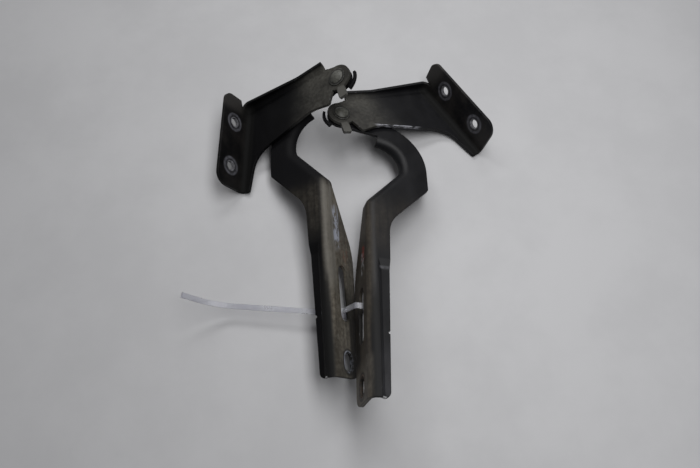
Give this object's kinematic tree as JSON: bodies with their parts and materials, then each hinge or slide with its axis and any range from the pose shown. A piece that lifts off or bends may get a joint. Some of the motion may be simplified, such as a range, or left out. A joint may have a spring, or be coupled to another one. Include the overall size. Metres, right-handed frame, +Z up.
{
  "type": "bonnet hinge pair",
  "caption": "Handed bonnet hinges of pressed steel: flanged body brackets riveted to gooseneck arms with slotted bonnet flanges, bundled by a cable tie through the slots.",
  "frame": {"origin": "middle of the pair's outline on the floor", "axes": "+Y from the arms' free ends to the pivots, +X towards the right hinge, +Z up from the floor they lie on"},
  "size_m": [0.2898, 0.3544, 0.0738],
  "materials": {
    "e_coated_sheet": "dusty black electrocoat, worn at the edges",
    "coated_rivet_steel": "dusty electrocoat over steel",
    "sintered_bronze": "oiled matt",
    "nylon": "moulded, milky"
  },
  "bodies": {
    "arms": {"left_bonnet_arm": "e_coated_sheet", "left_pivot_rivet": "coated_rivet_steel", "left_head_washer": "coated_rivet_steel", "left_tail_washer": "coated_rivet_steel", "right_bonnet_arm": "e_coated_sheet", "right_pivot_rivet": "coated_rivet_steel", "right_head_washer": "coated_rivet_steel", "right_tail_washer": "coated_rivet_steel", "cable_tie": "nylon"},
    "left_bracket": {"left_body_bracket": "e_coated_sheet", "left_pivot_bush": "sintered_bronze"},
    "right_bracket": {"right_body_bracket": "e_coated_sheet", "right_pivot_bush": "sintered_bronze"}
  },
  "joints": [
    {"name": "left_pivot", "type": "hinge", "parent": "arms", "child": "left_bracket", "pos_m": [-0.00971, 0.13065, 0.06406], "axis": [0.5093, 0.0702, -0.8577], "range_deg": [-8.7, 51.3]},
    {"name": "right_pivot", "type": "hinge", "parent": "arms", "child": "right_bracket", "pos_m": [-0.00835, 0.10738, 0.03706], "axis": [0.2796, 0.1659, 0.9457], "range_deg": [-37.1, 22.9]}
  ]
}
